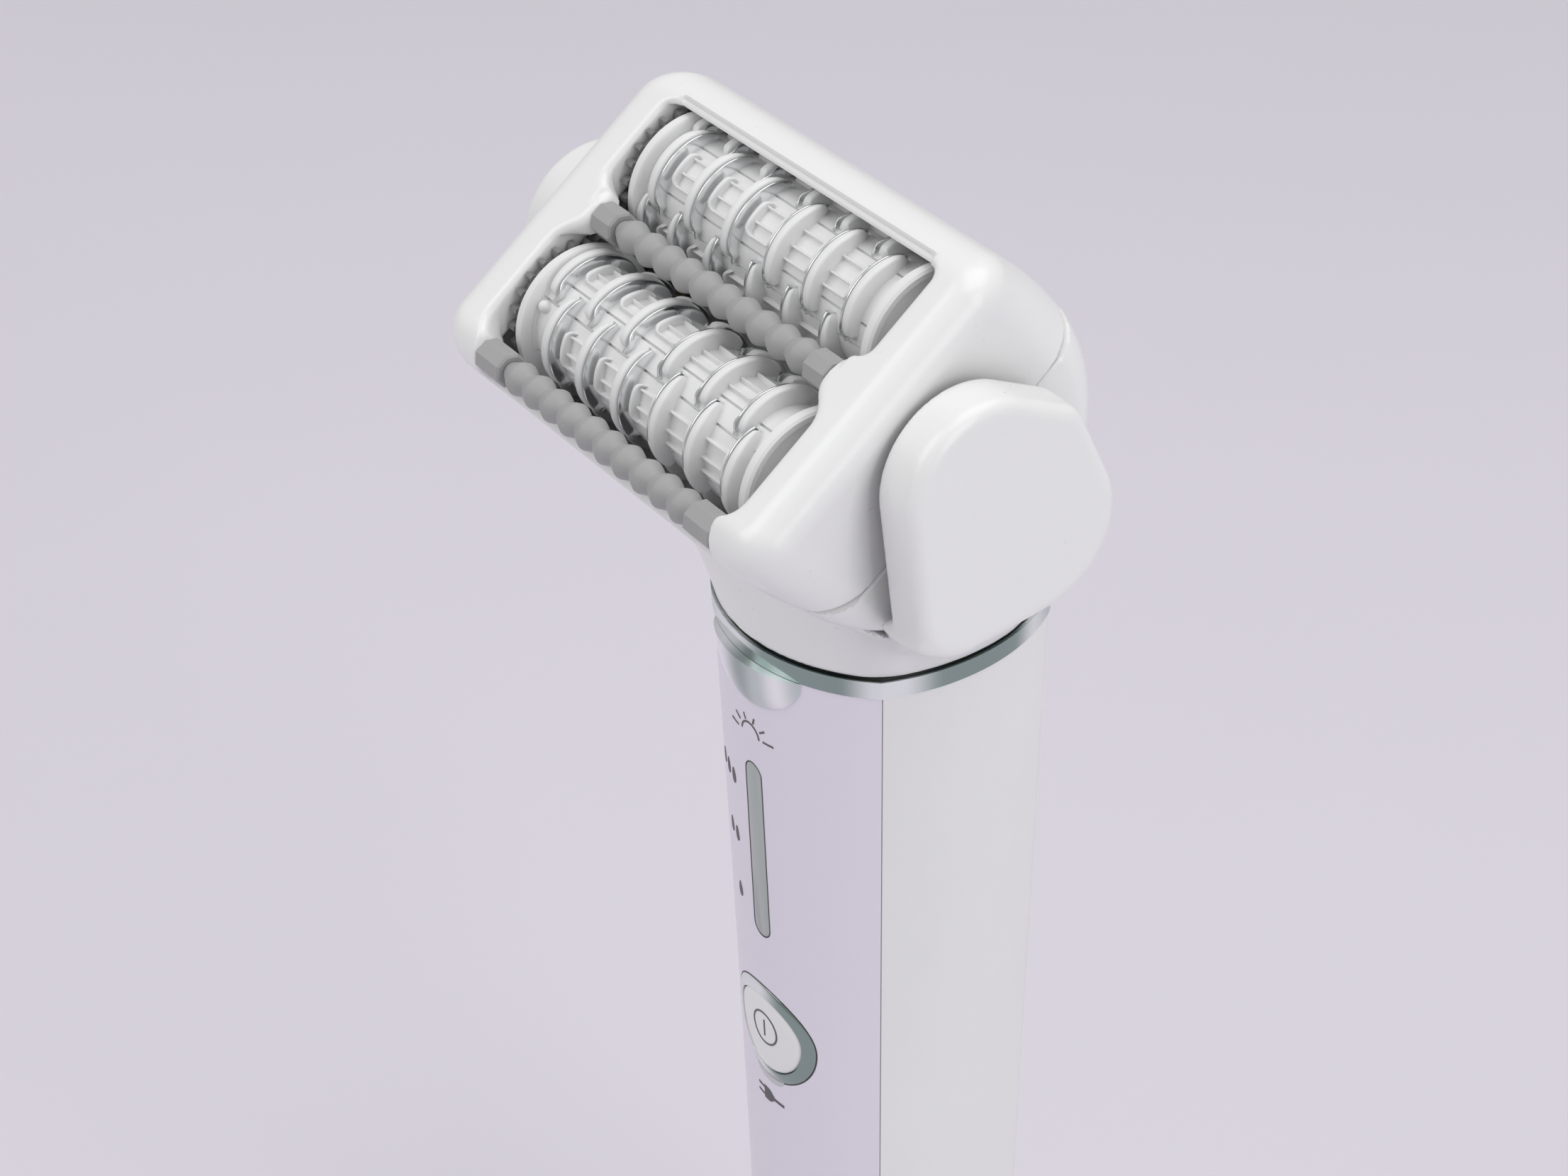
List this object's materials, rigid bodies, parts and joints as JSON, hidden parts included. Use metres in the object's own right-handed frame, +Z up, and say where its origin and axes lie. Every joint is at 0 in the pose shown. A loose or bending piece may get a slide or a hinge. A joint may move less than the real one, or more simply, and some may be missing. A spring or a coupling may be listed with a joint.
{
  "type": "epilator",
  "caption": "Cordless epilator with a tilting two-drum tweezer head, beaded massage rollers, plug-on yoke and tapered grip with a power button.",
  "frame": {"origin": "middle of the flat base face of the grip", "axes": "+Z up along the grip, +X right along the drum axes, front faces -Y"},
  "size_m": [0.0578, 0.0453, 0.1766],
  "materials": {
    "lavender": "satin pearl lacquer",
    "white_shell": "satin gloss",
    "white_gloss": "soft gloss",
    "inner_white": "moulded",
    "drum_white": "moulded, soft gloss",
    "chrome": "bright plated",
    "steel": "drawn",
    "motor_steel": "zinc plated",
    "contact_metal": "bare",
    "roller_grey": "matte",
    "gear_grey": "moulded",
    "dark_plastic": "moulded",
    "black_seal": "matte",
    "window_grey": "flat satin film",
    "pearl_lens": "pearly translucent",
    "clear_lens": "frosted clear",
    "battery_wrap": "shrink wrap",
    "board_green": "solder mask"
  },
  "bodies": {
    "grip": {"front_panel": "lavender", "back_shell": "white_shell", "base_cap": "white_shell", "charging_socket": "dark_plastic", "socket_blades": "contact_metal", "button_bezel": "chrome", "level_window": "window_grey", "charge_window": "clear_lens", "light_lens": "pearl_lens", "chrome_ring": "chrome", "neck_seal": "black_seal", "inner_frame": "inner_white", "contact_block": "dark_plastic", "contact_pins": "contact_metal", "battery_cell": "battery_wrap", "circuit_board": "board_green", "board_screws": "steel", "power_switch": "dark_plastic", "light_led": "clear_lens", "release_spring": "steel"},
    "power_button": {"power_button": "white_gloss"},
    "release_button": {"release_button": "white_gloss"},
    "yoke": {"yoke": "white_gloss", "pivot_pins": "steel", "detent_discs": "dark_plastic", "contact_pads": "contact_metal"},
    "head": {"head_base": "white_gloss", "chassis_screws": "steel", "head_chassis": "inner_white", "front_drum_axle": "steel", "back_drum_axle": "steel", "idler_post": "steel", "motor": "motor_steel"},
    "frame": {"head_frame": "white_gloss", "roller_holders": "roller_grey"},
    "front_drum": {"front_drum": "drum_white", "front_tweezers": "chrome", "front_drum_bushes": "contact_metal", "front_drum_gear": "gear_grey"},
    "back_drum": {"back_drum": "drum_white", "back_tweezers": "chrome", "back_drum_bushes": "contact_metal", "back_drum_gear": "gear_grey"},
    "idler": {"idler_gear": "gear_grey"},
    "motor_rotor": {"motor_shaft": "steel", "motor_pinion": "contact_metal"},
    "middle_roller": {"middle_roller": "roller_grey"},
    "front_roller": {"front_roller": "roller_grey"}
  },
  "joints": [
    {"name": "head_release", "type": "slide", "parent": "grip", "child": "yoke", "axis": [0, 0, 1], "range_m": [0, 0.012]},
    {"name": "head_tilt", "type": "hinge", "parent": "yoke", "child": "head", "pos_m": [0, -0.0101, 0.1582], "axis": [1, 0, 0], "range_deg": [-83, 7]},
    {"name": "frame_lift", "type": "slide", "parent": "head", "child": "frame", "axis": [0, -0.6157, 0.788], "range_m": [0, 0.008]},
    {"name": "front_drum_spin", "type": "hinge", "parent": "head", "child": "front_drum", "pos_m": [0, -0.02043, 0.15812], "axis": [1, 0, 0], "continuous": true},
    {"name": "back_drum_spin", "type": "hinge", "parent": "head", "child": "back_drum", "pos_m": [0, -0.00863, 0.16734], "axis": [1, 0, 0], "continuous": true},
    {"name": "idler_spin", "type": "hinge", "parent": "head", "child": "idler", "pos_m": [0, -0.01022, 0.15722], "axis": [1, 0, 0], "continuous": true},
    {"name": "motor_spin", "type": "hinge", "parent": "head", "child": "motor_rotor", "pos_m": [0, -0.00622, 0.1521], "axis": [1, 0, 0], "continuous": true},
    {"name": "middle_roller_spin", "type": "hinge", "parent": "frame", "child": "middle_roller", "pos_m": [0, -0.01784, 0.1668], "axis": [1, 0, 0], "continuous": true},
    {"name": "front_roller_spin", "type": "hinge", "parent": "frame", "child": "front_roller", "pos_m": [0, -0.02947, 0.15694], "axis": [1, 0, 0], "continuous": true},
    {"name": "power_press", "type": "slide", "parent": "grip", "child": "power_button", "axis": [0, 1, 0], "range_m": [0, 0.0005], "stiffness_N_per_m": 600, "springref_m": -0.001},
    {"name": "release_press", "type": "slide", "parent": "grip", "child": "release_button", "axis": [0, -1, 0], "range_m": [0, 0.0012], "stiffness_N_per_m": 500, "springref_m": -0.0012, "deforming": ["release_spring"]}
  ],
  "couplings": [
    {"joint": "back_drum_spin", "follows": "front_drum_spin", "ratio": 1},
    {"joint": "idler_spin", "follows": "front_drum_spin", "ratio": -1.5625},
    {"joint": "motor_spin", "follows": "front_drum_spin", "ratio": 2.5}
  ]
}
